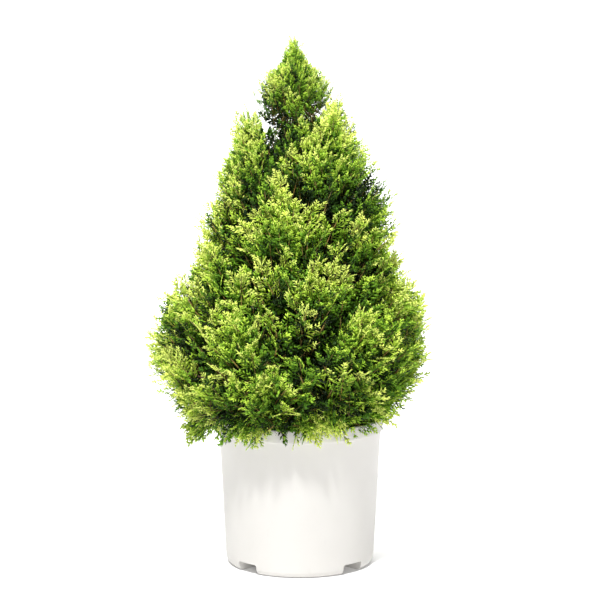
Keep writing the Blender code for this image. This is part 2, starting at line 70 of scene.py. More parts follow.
class Finish:
    def __init__(self, name, **constants):
        self.material = bpy.data.materials.new(name)
        self.material.use_nodes = True
        self.tree = self.material.node_tree
        self.shader = self.tree.nodes["Principled BSDF"]
        for key, value in constants.items():
            socket = self.shader.inputs[key.replace("_", " ")]
            socket.default_value = (*value, 1.0) if isinstance(value, tuple) and len(value) == 3 else value

    def node(self, kind, settings, sockets, output=0):
        made = self.tree.nodes.new(kind)
        for key, value in settings.items():
            setattr(made, key, value)
        for key, value in sockets.items():
            self.feed(made.inputs[key], value)
        return Value(self.tree, made.outputs[output])

    def feed(self, socket, value):
        if isinstance(value, Value):
            self.tree.links.new(value.socket, socket)
        elif isinstance(value, tuple) and socket.type == "RGBA":
            socket.default_value = (*value, 1.0)
        else:
            socket.default_value = value

    def noise(self, scale, detail=3.0, rough=0.5, stretch=(1, 1, 1)):
        point = self.node("ShaderNodeTexCoord", {}, {}, "Object")
        place = self.node("ShaderNodeMapping", {}, {"Vector": point, "Scale": stretch})
        sockets = {"Vector": place, "Scale": scale, "Detail": detail, "Roughness": rough}
        return self.node("ShaderNodeTexNoise", {}, sockets)

    def spread(self, value, low, high):
        return self.node("ShaderNodeMapRange", {}, {"From Min": low, "From Max": high, "Value": value})

    def blend(self, share, first, second):
        sockets = {colourMix["factor"]: share, colourMix["first"]: first, colourMix["second"]: second}
        return self.node("ShaderNodeMix", {"data_type": "RGBA"}, sockets, colourMix["result"])

    def bump(self, height, strength, distance):
        sockets = {"Strength": strength, "Distance": distance, "Height": height}
        self.to("Normal", self.node("ShaderNodeBump", {}, sockets))

    def to(self, name, value):
        self.feed(self.shader.inputs[name], value)


def potFinish():
    made = Finish("whitePlastic", Base_Color=(0.66, 0.64, 0.61), Roughness=0.5, IOR=1.47,
                  Specular_IOR_Level=0.2)
    cloud = made.noise(9.0, 3.0)
    scuffs = made.spread(made.noise(60.0, 5.0, 0.65, (1, 1, 0.35)), 0.62, 0.78)
    tint = made.blend(made.spread(cloud, 0.35, 0.7), (0.670, 0.652, 0.625), (0.640, 0.622, 0.595))
    made.to("Base Color", made.blend(scuffs * 0.35, tint, (0.56, 0.54, 0.51)))
    made.to("Roughness", 0.46 + 0.12 * cloud + 0.10 * scuffs)
    made.bump(made.noise(420.0, 2.0), 0.10, 0.0004)
    return made.material


def mixFinish(name, dark, light):
    made = Finish(name, Roughness=0.92)
    grain = made.spread(made.noise(160.0, 5.0, 0.65), 0.32, 0.7)
    made.to("Base Color", made.blend(grain, dark, light))
    made.bump(made.noise(300.0, 4.0), 0.7, 0.002)
    return made.material


def barkFinish():
    made = Finish("barkBrown", Roughness=0.85)
    flakes = made.spread(made.noise(140.0, 5.0, 0.6, (1, 1, 0.22)), 0.34, 0.68)
    patches = made.spread(made.noise(26.0, 2.0), 0.4, 0.65)
    red = made.blend(flakes, (0.060, 0.030, 0.018), (0.230, 0.125, 0.075))
    made.to("Base Color", made.blend(patches * 0.5, red, (0.20, 0.155, 0.115)))
    made.to("Roughness", 0.74 + 0.2 * flakes)
    made.bump(flakes, 0.8, 0.0016)
    return made.material


def leafFinish(name, colour, warm):
    made = Finish(name, Roughness=0.46, IOR=1.42, Specular_IOR_Level=0.28)
    patch = made.spread(made.noise(70.0, 2.0), 0.35, 0.65)
    made.to("Base Color", made.blend(patch, colour, tuple(c * w for c, w in zip(colour, warm))))
    made.to("Roughness", 0.40 + 0.16 * patch)
    return made.material


# leaf tones from near-black green to lime: the lime tips are the foliage's own colour, the darkest tones are
# painted shade for deep and hollow sprays
leafColoursAndShade = (
    (0.010, 0.026, 0.005),
    (0.026, 0.072, 0.008),
    (0.066, 0.170, 0.012),
    (0.145, 0.315, 0.020),
    (0.300, 0.530, 0.042),
    (0.545, 0.780, 0.085),
    (0.810, 0.950, 0.210),
)
leafMaterials = [leafFinish(f"leaf_{i}", colour, (1.10, 1.07, 0.90)) for i, colour in enumerate(leafColoursAndShade)]
twigMaterial = leafFinish("youngTwig", (0.230, 0.190, 0.060), (1.25, 0.95, 0.7))
barkMaterial = barkFinish()
potMaterial = potFinish()
mixMaterial = mixFinish("pottingMix", (0.018, 0.011, 0.008), (0.085, 0.055, 0.036))
chipMaterial = mixFinish("barkChips", (0.045, 0.026, 0.017), (0.190, 0.115, 0.070))
print("materials made")


def pieceFrom(name, mesh, nodes, materials):
    obj = bpy.data.objects.new(name, mesh)
    bpy.context.scene.collection.objects.link(obj)
    if mesh.materials:
        mesh.materials.clear()
    for material in materials:
        mesh.materials.append(material)
    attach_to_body(obj, "root")
    if nodes:
        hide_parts(*nodes)


def meshFrom(name, points, faces, indices=None):
    mesh = bpy.data.meshes.new(name)
    mesh.vertices.add(len(points))
    mesh.vertices.foreach_set("co", np.ascontiguousarray(points, np.float32).ravel())
    count, sides = faces.shape
    mesh.loops.add(count * sides)
    mesh.loops.foreach_set("vertex_index", np.ascontiguousarray(faces, np.int32).ravel())
    mesh.polygons.add(count)
    mesh.polygons.foreach_set("loop_start", np.arange(0, count * sides, sides, dtype=np.int32))
    if indices is not None:
        mesh.polygons.foreach_set("material_index", np.ascontiguousarray(indices, np.int32))
    mesh.update(calc_edges=True)
    mesh.validate()
    return mesh


# pot and potting mix, by the profile of the part with finer steps

pot = dict(
    height=0.248, rim=0.1397, band=0.0215, rimRound=0.0025, wallTop=0.1355, base=0.1236, baseRound=0.012,
    draft=0.0003, bandEdge=0.004, lipIn=0.0018, lipUp=0.0012, lipRound=0.0014,  # the rim band's lower edge
    neck=((0.0009, 0.0004), (0.0001, 0.0016)),  # the hollow below it, out and down
    wall=0.0025, floor=0.003, innerRound=0.7, openTop=0.01, sides=144, smooth=32,
    channelWide=0.042, channelHigh=0.017, channelInner=0.034, channelOver=0.03, channelRound=0.004,
    channels=(45, 135, 225, 315), drain=0.007, drainDeep=0.02, drainReach=0.088, drainSides=24,
)
mix = dict(height=0.222, crowning=0.004, gap=0.0003, side=0.0004, half=0.0015, sink=0.003, deep=0.03)


def wallRadius(z):
    return pot["base"] + (pot["wallTop"] - pot["base"]) * z / (pot["height"] - pot["band"])


def turned(name, profile):
    mesh = bpy.data.meshes.new(name)
    mesh.from_pydata([(r, 0, z) for r, z in profile], [(i, i + 1) for i in range(len(profile) - 1)], [])
    obj = bpy.data.objects.new(name, mesh)
    bpy.context.scene.collection.objects.link(obj)
    screw = obj.modifiers.new("turn", "SCREW")
    screw.steps = screw.render_steps = pot["sides"]
    screw.use_merge_vertices = True
    screw.merge_threshold = 0.00005
    return obj


def arc(centre, radius, first, last, steps):
    angles = [radians(first + (last - first) * i / steps) for i in range(steps + 1)]
    return [(centre[0] + radius * cos(a), centre[1] + radius * sin(a)) for a in angles]


def potProfile():
    under, rounding = pot["height"] - pot["band"], pot["rimRound"]
    corner = wallRadius(pot["baseRound"]) - pot["baseRound"]
    return [
        (0, pot["height"]),
        *arc((pot["rim"] - rounding, pot["height"] - rounding), rounding, 90, 0, 5),
        (pot["rim"] - pot["draft"], under + pot["bandEdge"]),
        *arc((pot["rim"] - pot["lipIn"], under + pot["lipUp"]), pot["lipRound"], 0, -90, 3),
        *[(pot["wallTop"] + out, under - down) for out, down in pot["neck"]],
        *arc((corner, pot["baseRound"]), pot["baseRound"], 0, -90, 8),
        (0, 0),
    ]


def insideProfile(top, floor):
    corner = wallRadius(floor + pot["baseRound"]) - pot["wall"]
    return [
        (0, top),
        (wallRadius(top) - pot["wall"], top),
        (corner, floor + pot["baseRound"]),
        (corner - pot["baseRound"] * pot["innerRound"], floor),
        (0, floor),
    ]


def channelBlocks(name, grown):
    shape = bmesh.new()
    long = pot["rim"] + pot["channelOver"] - pot["channelInner"] + grown
    size = (long, pot["channelWide"] + 2 * grown, 2 * (pot["channelHigh"] + grown))
    for angle in pot["channels"]:
        middle = pot["channelInner"] - grown + long / 2
        spot = Matrix.Rotation(radians(angle), 4, "Z") @ Matrix.Translation((middle, 0, 0))
        bmesh.ops.create_cube(shape, size=1, matrix=spot @ Matrix.Diagonal((*size, 1)))
    mesh = bpy.data.meshes.new(name)
    shape.to_mesh(mesh)
    shape.free()
    obj = bpy.data.objects.new(name, mesh)
    bpy.context.scene.collection.objects.link(obj)
    rounding = obj.modifiers.new("round", "BEVEL")
    rounding.width = pot["channelRound"]
    rounding.segments = 4
    return obj


def drainHoles():
    shape = bmesh.new()
    for angle in pot["channels"]:
        spot = Matrix.Rotation(radians(angle), 4, "Z")
        spot = spot @ Matrix.Translation((pot["drainReach"], 0, pot["channelHigh"]))
        bmesh.ops.create_cone(shape, cap_ends=True, segments=pot["drainSides"], radius1=pot["drain"],
                              radius2=pot["drain"], depth=pot["drainDeep"], matrix=spot)
    mesh = bpy.data.meshes.new("drainHoles")
    shape.to_mesh(mesh)
    shape.free()
    obj = bpy.data.objects.new("drainHoles", mesh)
    bpy.context.scene.collection.objects.link(obj)
    return obj


def cutAway(obj, cutter):
    cut = obj.modifiers.new("cut", "BOOLEAN")
    cut.operation = "DIFFERENCE"
    cut.object = cutter


def settled(obj):
    bpy.context.view_layer.update()
    return bpy.data.meshes.new_from_object(obj.evaluated_get(bpy.context.evaluated_depsgraph_get()))


def makePot():
    body = turned("potBody", potProfile())
    inside = turned("potInside", insideProfile(pot["height"] + pot["openTop"], pot["floor"]))
    walls = channelBlocks("channelWalls", pot["wall"])
    cutAway(inside, walls)
    channels = channelBlocks("channels", 0.0)
    drains = drainHoles()
    for cutter in (channels, inside, drains):
        cutAway(body, cutter)
    mesh = settled(body)
    for obj in (body, inside, walls, channels, drains):
        bpy.data.objects.remove(obj)
    pieceFrom("nurseryPot", mesh, ["pot"], [potMaterial])
    mesh.shade_smooth()
    mesh.set_sharp_from_angle(angle=radians(pot["smooth"]))


makePot()
print("pot made")


# the part's own crown: outline, limbs and the seeded rule that turns sprays out of them

crownOutline = (
    (0.200, 0.148), (0.240, 0.172), (0.274, 0.192), (0.308, 0.216), (0.342, 0.232), (0.376, 0.240),
    (0.410, 0.236), (0.443, 0.224), (0.477, 0.210), (0.510, 0.186), (0.544, 0.174), (0.593, 0.165),
    (0.627, 0.152), (0.660, 0.138), (0.693, 0.125), (0.725, 0.108), (0.758, 0.097), (0.791, 0.078),
    (0.824, 0.060), (0.845, 0.032), (0.860, 0.018), (0.880, 0.006),
)
crownMiddleLine = (
    (0.20, -0.022), (0.40, -0.018), (0.50, -0.008), (0.62, -0.003), (0.70, -0.002), (0.88, -0.011),
)
trunk = dict(top=0.770, base=0.0085, tip=0.0022, taper=0.8, flare=0.0145, flareHigh=0.020,
             lean=-0.010, sway=0.004)
rings = (
    dict(name="skirt", count=7, first=22, attach=0.241, tip=0.236, bend=0.040, bough=0.44,
         lift=-0.45, sprays=150, fineness=1.0, edge=0.010, crowd=1.0),
    dict(name="lower", count=7, first=-4, attach=0.268, tip=0.345, bend=-0.012, bough=0.42,
         lift=0.70, sprays=74, fineness=1.0, edge=0.010, crowd=1.0),
    dict(name="middle", count=6, first=30, attach=0.305, tip=0.452, bend=-0.024, bough=0.42,
         lift=1.05, sprays=96, fineness=1.0, edge=0.010, crowd=1.0),
    dict(name="upper", count=5, first=88, attach=0.385, tip=0.556, bend=-0.028, bough=0.0,
         lift=1.35, sprays=112, fineness=1.0, edge=0.010, crowd=1.0),
    dict(name="shoulder", count=4, first=76, attach=0.478, tip=0.662, bend=-0.028, bough=0.0,
         lift=1.7, sprays=96, fineness=0.92, edge=0.010, crowd=1.0),
    dict(name="neck", count=3, first=-72, attach=0.580, tip=0.760, bend=-0.020, bough=0.0,
         lift=2.1, sprays=120, fineness=0.82, edge=0.010, crowd=1.8),
)
leader = dict(tip=0.880, lean=-0.011, bend=0.0, bough=0.0,
              lift=3.2, sprays=150, fineness=0.56, edge=0.016, crowd=2.4)
limbs = dict(
    tipReach=0.93, turn=5, attachSpread=0.014, stagger=0.618, tipShift=0.010, gap=0.0009,
    base=0.0038, thinnest=0.35, growth=3.0, boughTip=0.0026, stemTip=0.0012,  # radii, thinner on short limbs
    stemEnd=0.86, foliageStart=0.36, afterBough=0.05, leaderStart=0.12,  # shares of a limb's length
    step=0.002, farthest=0.3, aboveRim=0.006, seed=11, golden=137.508,
)


def crownRadius(z):
    heights, reaches = zip(*crownOutline)
    return np.interp(z, heights, reaches)


def crownMiddle(z):
    heights, places = zip(*crownMiddleLine)
    return np.interp(z, heights, places)


def unit(vector):
    return vector / np.linalg.norm(vector)


def trunkCentre(z):
    share = (z - mix["height"]) / (trunk["top"] - mix["height"])
    x = trunk["lean"] * share + trunk["sway"] * sin(2 * pi * share)
    return np.array([x, trunk["sway"] * sin(pi * share), z])


def trunkRadius(z):
    share = (z - mix["height"]) / (trunk["top"] - mix["height"])
    flare = (trunk["flare"] - trunk["base"]) * max(0.0, 1 - (z - mix["height"]) / trunk["flareHigh"]) ** 2
    return trunk["base"] + (trunk["tip"] - trunk["base"]) * max(share, 0.0) ** trunk["taper"] + flare


class Limb:
    def __init__(self, name, start, tip, look):
        self.name, self.start, self.tip = name, start, tip
        self.control = (start + tip) / 2 + np.array([0, 0, 2 * look["bend"]])
        self.bough, self.lift, self.sprays = look["bough"], look["lift"], look["sprays"]
        self.fineness, self.edge, self.crowd = look["fineness"], look["edge"], look["crowd"]

    def at(self, s):
        return (1 - s) ** 2 * self.start + 2 * s * (1 - s) * self.control + s * s * self.tip

    def direction(self, s):
        return unit((1 - s) * (self.control - self.start) + s * (self.tip - self.control))

    def radius(self, s):
        thick = limbs["thinnest"] + limbs["growth"] * np.linalg.norm(self.tip - self.start)
        base = limbs["base"] * min(1.0, thick)
        if s < self.bough:
            return base + (limbs["boughTip"] - base) * s / self.bough
        first = limbs["boughTip"] if self.bough else min(limbs["boughTip"], base)
        return first + (limbs["stemTip"] - first) * (s - self.bough) / (1 - self.bough)

    def foliageStart(self):
        if self.bough:
            return self.bough + limbs["afterBough"]
        return limbs["leaderStart"] if self.name == "leader" else limbs["foliageStart"]

    def middle(self):
        return self.at(0.5 * (self.foliageStart() + 1))


def planLimbs():
    rng = np.random.default_rng(limbs["seed"])
    made = []
    for ring in rings:
        for k in range(ring["count"]):
            turn, lower = rng.uniform(-1, 1, 2)
            azimuth = radians(ring["first"] + 360 * k / ring["count"] + limbs["turn"] * turn)
            out = np.array([sin(azimuth), -cos(azimuth), 0.0])
            attach = ring["attach"] + limbs["attachSpread"] * ((k * limbs["stagger"]) % 1)
            start = trunkCentre(attach) + out * trunkRadius(attach)
            height = ring["tip"] + limbs["tipShift"] * lower
            tip = out * crownRadius(height) * limbs["tipReach"] + np.array([crownMiddle(height), 0, height])
            made.append(Limb(f"{ring['name']}_{k + 1}", start, tip, ring))
    top = trunkCentre(trunk["top"]) + (0, 0, limbs["gap"])
    tip = np.array([leader["lean"], 0, leader["tip"]])
    made.append(Limb("leader", top, tip, leader))
    return made


def reach(root, heading):
    steps = np.arange(limbs["step"], limbs["farthest"], limbs["step"])
    points = root + steps[:, None] * heading
    level = np.hypot(points[:, 0] - crownMiddle(points[:, 2]), points[:, 1])
    beyond = (level > crownRadius(points[:, 2])) | (points[:, 2] > leader["tip"])
    nearPot = np.hypot(points[:, 0], points[:, 1]) < pot["rim"] + limbs["aboveRim"]
    beyond |= (points[:, 2] < pot["height"] + limbs["aboveRim"]) & nearPot
    beyond |= points[:, 2] < crownOutline[0][0]
    return steps[np.argmax(beyond)] if beyond.any() else steps[-1]


def turnedAbout(vector, axis, degrees):
    angle = radians(degrees)
    swung = vector * cos(angle) + np.cross(axis, vector) * sin(angle)
    return swung + axis * (axis @ vector) * (1 - cos(angle))


def spreadDirections(count, turn):
    heights = 1 - 2 * (np.arange(count) + 0.5) / count
    angles = np.radians(limbs["golden"] * np.arange(count) + turn)
    level = np.sqrt(1 - heights**2)
    return np.stack([level * np.cos(angles), level * np.sin(angles), heights], axis=1)


limbLines = planLimbs()
middles = np.array([line.middle() for line in limbLines])


# limbs with bark relief

bark = dict(trunkSides=20, trunkSteps=150, trunkOver=0.002, limbSides=10, limbSteps=16, limbFrom=-0.02,
            limbTo=0.88, relief=0.10, share=0.6, seed=5)


def tube(centres, radii, sides, relief, rng):
    centres, radii = np.array(centres), np.array(radii)
    rings = len(centres)
    forward = np.gradient(centres, axis=0)
    forward /= np.linalg.norm(forward, axis=1)[:, None]
    aside = np.cross(forward, (0.31, 0.17, 0.93) if abs(forward[0, 2]) < 0.9 else (1.0, 0.2, 0.0))
    aside /= np.linalg.norm(aside, axis=1)[:, None]
    other = np.cross(forward, aside)
    angles = 2 * pi * np.arange(sides) / sides
    lengthwise, knots = rng.uniform(-1, 1, (1, sides)), rng.uniform(-1, 1, (rings, sides))
    strips = 1 + relief * lengthwise * bark["share"] + relief * knots * bark["share"]
    spread = radii[:, None] * strips
    points = centres[:, None] + spread[..., None] * (
        aside[:, None] * np.cos(angles)[None, :, None] + other[:, None] * np.sin(angles)[None, :, None]
    )
    points = np.concatenate([points.reshape(-1, 3), centres[:1], centres[-1:]])
    i, j = np.meshgrid(np.arange(rings - 1), np.arange(sides), indexing="ij")
    a, b = i * sides + j, i * sides + (j + 1) % sides
    quads = np.stack([a, b, b + sides, a + sides], axis=-1).reshape(-1, 4)
    tris = np.concatenate([quads[:, [0, 1, 2]], quads[:, [0, 2, 3]]])
    ring = np.arange(sides)
    foot, tip = rings * sides, rings * sides + 1
    last = (rings - 1) * sides
    caps = np.concatenate([
        np.stack([np.full(sides, foot), (ring + 1) % sides, ring], axis=1),
        np.stack([np.full(sides, tip), last + ring, last + (ring + 1) % sides], axis=1),
    ])
    return points, np.concatenate([tris, caps])


def gather(parts):
    points, faces, offset = [], [], 0
    for p, f in parts:
        points.append(p)
        faces.append(f + offset)
        offset += len(p)
    return np.concatenate(points), np.concatenate(faces)


def makeLimbs():
    rng = np.random.default_rng(bark["seed"])
    foot = mix["height"] + mix["crowning"] + mix["gap"]
    heights = np.linspace(foot, trunk["top"] + bark["trunkOver"], bark["trunkSteps"])
    stem = tube([trunkCentre(z) for z in heights], [trunkRadius(z) for z in heights], bark["trunkSides"],
                bark["relief"], rng)
    mesh = meshFrom("barkTrunk", *stem)
    mesh.shade_smooth()
    pieceFrom("barkTrunk", mesh, ["trunk"], [barkMaterial])
    parts = []
    for line in limbLines:
        first = 0.0 if line.name == "leader" else bark["limbFrom"]
        shares = np.linspace(first, bark["limbTo"], bark["limbSteps"])
        parts.append(tube([line.at(s) for s in shares], [line.radius(max(s, 0)) for s in shares],
                          bark["limbSides"], bark["relief"], rng))
    mesh = meshFrom("barkBoughs", *gather(parts))
    mesh.shade_smooth()
    nodes = [f"bough_{line.name}" for line in limbLines if line.bough]
    pieceFrom("barkBoughs", mesh, nodes, [barkMaterial])


makeLimbs()
print("trunk and boughs made")


# plumes: a shoot with flat sprays along it, each pinnate with slender branchlets; hidden plumes are plainer

plume = dict(
    length=0.108, vary=0.20, droop=0.10, curl=0.10, kinds=8, seed=77,
    first=0.14, pace=0.80, last=0.78, long=0.50, short=0.26, end=0.36,  # where sprays leave, and their size
    sizes=(0.85, 1.12), rootSize=0.8, rootGain=1.2, shootFlat=0.5, plain=0.3, bright=0.6,
    angle=38, narrowing=12, angleVary=7, tiltOut=24, endTilt=6, roll=38, cup=0.10, fold=0.25,
    own=0.45, uneven=0.05, rise=0.25, sway=0.42, faceUp=0.4, faceTurn=75,  # how it stands in its mass
    ends=3, brightFrom=-0.25, potRoom=0.004,
)
shoot = (((0.0, 0.0), (0.55, 0.0), 0.022), ((0.40, 0.0), (0.92, 0.0), 0.018))
spray = dict(
    axisTo=0.58, axisWide=0.030, endFrom=0.50, first=0.10, span=0.80, vary=0.3,
    long=0.42, most=1.06, taper=0.80, least=0.55, growth=2.4, sizes=(0.80, 1.18),
    angle=44, angleEnd=28, angleVary=8, thick=0.34, lean=0.012, lift=0.03, belly=0.52,
    second=0.20, secondSizes=(0.8, 1.2), secondWide=0.9, sideAngle=34, sideFrom=0.42,
)
details = (
    dict(sprays=7, pairs=5, sides=3, wide=0.068),
    dict(sprays=5, pairs=4, sides=0, wide=0.092),
    dict(sprays=3, pairs=3, sides=0, wide=0.200),
)
# layers from the crown's edge inwards: their tones darken with depth, partly the older inner foliage's own
# darker green and partly painted shade inside the crown
layers = (
    dict(depth=0.985, keep=0.94, tones=(3, 5), detail=0),
    dict(depth=0.82, keep=0.58, tones=(1, 4), detail=1),
    dict(depth=0.62, keep=0.46, tones=(0, 1), detail=2),
    dict(depth=0.42, keep=0.30, tones=(0, 0), detail=2),
)
# sprays in the hollows between limb masses and near the trunk take the darkest tones: painted shade
valley = dict(keep=0.34, within=0.034, tones=(0, 2), detail=1, sink=0.90)
innerLayer = dict(keep=0.09, far=0.125, most=0.6, share=0.75, vary=0.25, tones=(0, 0), detail=2)
# clump waves: besides the relief, their dark and bright marks shift tones, painted shade in the hollows and
# painted light on the bulges
clumps = dict(waves=62.0, peak=1.6, relief=0.10, most=0.2, dark=-0.30, bright=0.35)
twig = dict(choices=10, ahead=0.02, sag=0.006, lean=0.004, into=0.004,
            radii=(0.0011, 0.0009, 0.0007), sides=3)
woody = len(leafColoursAndShade)  # the shoots' place after the leaf colours
woodyTint = -9


def sprayLeaves(rng, detail):
    leaves = [((0.0, 0.0), (spray["axisTo"], 0.0), spray["axisWide"], 0),
              ((spray["endFrom"], 0.0), (1.0, 0.0), detail["wide"], 1)]
    count = detail["pairs"] * 2
    for k in range(count):
        hand = 1 if k % 2 else -1
        u = spray["first"] + spray["span"] * (k + rng.uniform(-spray["vary"], spray["vary"])) / count
        fill = min(1.0, spray["least"] + spray["growth"] * u)
        long = spray["long"] * (spray["most"] - spray["taper"] * u) * fill * rng.uniform(*spray["sizes"])
        turn = spray["angle"] + (spray["angleEnd"] - spray["angle"]) * u
        angle = radians(turn + rng.uniform(-spray["angleVary"], spray["angleVary"]))
        root = np.array([u, 0.0])
        tip = root + long * np.array([cos(angle), hand * sin(angle)])
        leaves.append((tuple(root), tuple(tip), detail["wide"], 1 if k >= detail["pairs"] else 0))
        if 1 <= k <= detail["sides"]:
            off = angle - radians(spray["sideAngle"] + rng.uniform(-spray["angleVary"], spray["angleVary"]))
            start = root + (tip - root) * spray["sideFrom"]
            size = spray["second"] * rng.uniform(*spray["secondSizes"])
            end = start + size * np.array([cos(off), hand * sin(off)])
            leaves.append((tuple(start), tuple(end), detail["wide"] * spray["secondWide"], 1))
    return leaves


def leafPoints(leaves, rng):
    roots, tips = np.array([x[0] for x in leaves]), np.array([x[1] for x in leaves])
    wides, tints = np.array([x[2] for x in leaves]), np.array([x[3] for x in leaves])
    along = tips - roots
    across = np.stack([-along[:, 1], along[:, 0]], axis=1)
    across /= np.linalg.norm(across, axis=1)[:, None]
    belly = roots + along * spray["belly"]
    lean = rng.uniform(-spray["lean"], spray["lean"], (len(roots), 1))
    lift = rng.uniform(-spray["lift"], spray["lift"], (len(roots), 1))
    ridge = wides[:, None] * spray["thick"]
    left = np.hstack([belly + across * wides[:, None] / 2, lean + lift / 2])
    right = np.hstack([belly - across * wides[:, None] / 2, lift / 2 - lean])
    points = np.stack([np.hstack([roots, ridge]), np.hstack([tips, ridge + lift]), left, right], axis=1)
    return points.reshape(-1, 3), tints


def plumeKind(rng, detail):
    points, tints = leafPoints([(*line, woodyTint) for line in shoot], rng)
    allPoints, allTints = [points * (1, 1, plume["shootFlat"])], [tints]
    count = detail["sprays"]
    for k in range(count + 1):
        last = k == count
        hand = 1 if k % 2 else -1
        share = k / count
        turn = plume["angle"] - plume["narrowing"] * share
        turn += 0 if last else rng.uniform(-plume["angleVary"], plume["angleVary"])
        angle = radians(0 if last else hand * turn)
        tilt = radians(rng.uniform(-1, 1) * (plume["endTilt"] if last else plume["tiltOut"]))
        heading = np.array([cos(angle) * cos(tilt), sin(angle) * cos(tilt), sin(tilt)])
        size = plume["end"] if last else plume["long"] + (plume["short"] - plume["long"]) * share
        size *= rng.uniform(*plume["sizes"]) * min(1.0, plume["rootSize"] + plume["rootGain"] * share)
        face = turnedAbout(np.array([0.0, 0.0, 1.0]), heading, plume["roll"] * rng.uniform(-1, 1))
        side = unit(np.cross(face, heading))
        normal = np.cross(heading, side)
        leafSet, tint = leafPoints(sprayLeaves(rng, detail), rng)
        cupped = plume["cup"] * rng.uniform(-1, 1) * leafSet[:, 0] ** 2
        leafSet[:, 2] += cupped - plume["fold"] * leafSet[:, 1] ** 2
        start = np.array([plume["last"] if last else plume["first"] + plume["pace"] * share, 0.0, 0.0])
        allPoints.append(start + size * (leafSet @ np.array([heading, side, normal])))
        allTints.append(tint - (share < plume["plain"]) + (share > plume["bright"]) * (tint > 0))
    return np.concatenate(allPoints), np.concatenate(allTints)


leafFaces = np.array([(0, 1, 2), (0, 3, 1), (0, 2, 3), (1, 3, 2)])  # a closed kite: ridge 0-1 over edge 2-3


def placeSpray(kind, root, heading, face, length, curl):
    side = unit(np.cross(face, heading))
    normal = unit(np.cross(heading, side))
    u, v, w = kind[:, 0], kind[:, 1], kind[:, 2]
    points = root + length * (u[:, None] * heading + v[:, None] * side + (w + curl * u**2)[:, None] * normal)
    points[:, 2] -= plume["droop"] * length * u**2
    return points


def clump(point):
    x, y, z = point * clumps["waves"]
    wave = sin(x + 0.7 * z) + sin(y - 0.6 * x + 1.3) + sin(z + 0.8 * y + 2.1)
    return max(-1.0, min(1.0, wave / clumps["peak"]))


def hitsPot(root):
    level = np.hypot(root[0], root[1])
    return root[2] < pot["height"] + plume["potRoom"] and level < pot["rim"] + plume["potRoom"]


def twigTo(line, root, heading, rng):
    shares = np.linspace(line.foliageStart(), limbs["stemEnd"], twig["choices"])
    share = min(shares, key=lambda s: np.linalg.norm(root - line.at(s) - line.direction(s) * twig["ahead"]))
    knee = (line.at(share) + root) / 2 + np.array([0, 0, -twig["sag"]]) + line.direction(share) * twig["lean"]
    return tube([line.at(share), knee, root + heading * twig["into"]], twig["radii"], twig["sides"], 0.0, rng)


def growMass(owner, line, kinds):
    rng = np.random.default_rng(limbs["seed"] * 1000 + owner)
    middle = line.middle()
    points, tones, twigs = [], [], []
    directions = spreadDirections(line.sprays, rng.uniform(0, 360))
    ahead = np.repeat(unit(line.tip - middle)[None], plume["ends"], axis=0)
    for outwards in np.concatenate([ahead, directions]):
        outline = reach(middle, outwards)
        rim = middle + outwards * outline
        swell = clump(rim)
        spans = np.linalg.norm(middles - rim, axis=1)
        beyond = spans[owner] - spans.min()
        inner = beyond > valley["within"]
        between = beyond > 0 and not inner
        for layer in layers:
            turn, sway, scale, keep, roll, curl, shade = rng.uniform(-1, 1, 7)
            rule = innerLayer if inner else valley if between else layer
            if (keep + 1) / 2 > rule["keep"] * line.crowd:
                continue
            depth = (outline - line.edge * np.hypot(outwards[0], outwards[1])) * layer["depth"]
            if between:
                depth *= valley["sink"]
            if inner:
                depth = min(innerLayer["far"], outline * innerLayer["most"])
                depth *= innerLayer["share"] + innerLayer["vary"] * scale
            relief = clumps["relief"] * min(swell, clumps["most"])
            tip = middle + outwards * depth * (1 + plume["uneven"] * roll + relief)
            aside = unit(np.cross(outwards, (0.1, 0.0, 1.0)))
            fromAxis = np.array([tip[0] - crownMiddle(tip[2]), tip[1], 0.0])
            outward = outwards * plume["own"] + unit(fromAxis) * (1 - plume["own"])
            upwards = np.array([0, 0, line.lift + plume["rise"] * roll])
            heading = unit(outward + upwards + aside * sway * plume["sway"])
            length = plume["length"] * (1 + plume["vary"] * scale) * line.fineness
            facing = unit(outwards + np.array([0, 0, plume["faceUp"]]))
            face = turnedAbout(facing, heading, plume["faceTurn"] * turn)
            root = tip - heading * length
            if hitsPot(root):
                continue
            choices = kinds[rule["detail"]]
            kindPoints, kindTints = choices[rng.integers(len(choices))]
            points.append(placeSpray(kindPoints, root, heading, face, length, plume["curl"] * curl))
            darkest, brightest = rule["tones"]
            tone = brightest if shade > plume["brightFrom"] else darkest
            # painted light and shade: one tone lighter on a clump's bulge, two tones darker in its hollow
            tone += (swell > clumps["bright"]) - 2 * (swell < clumps["dark"])
            leaves = np.clip(tone + kindTints, 0, len(leafColoursAndShade) - 1)
            tones.append(np.where(kindTints == woodyTint, woody, leaves))
            twigs.append(twigTo(line, root, heading, rng))
    return points, tones, twigs


def kiteFaces(count):
    return ((np.arange(count) * 4)[:, None, None] + leafFaces[None]).reshape(-1, 3)


def makeFoliage():
    rng = np.random.default_rng(plume["seed"])
    kinds = [[plumeKind(rng, detail) for _ in range(plume["kinds"])] for detail in details]
    leafCount, plumeCount, twigParts = 0, 0, []
    for owner, line in enumerate(limbLines):
        points, tones, twigs = growMass(owner, line, kinds)
        tone = np.concatenate(tones)
        corners = np.concatenate(points).reshape(-1, 4, 3)
        shoots, leafy = corners[tone == woody], corners[tone != woody]
        indices = np.repeat(tone[tone != woody], len(leafFaces))
        mesh = meshFrom(f"sprays_{line.name}", leafy.reshape(-1, 3), kiteFaces(len(leafy)), indices)
        pieceFrom(f"sprays_{line.name}", mesh, [f"foliage_{line.name}"], leafMaterials)
        leafCount += len(mesh.polygons)
        plumeCount += len(points)
        twigParts += [*twigs, (shoots.reshape(-1, 3), kiteFaces(len(shoots)))]
    mesh = meshFrom("twigs", *gather(twigParts))
    pieceFrom("twigs", mesh, [], [twigMaterial])
    print("foliage made:", plumeCount, "plumes,", leafCount, "leaf and", len(mesh.polygons), "twig triangles")


makeFoliage()


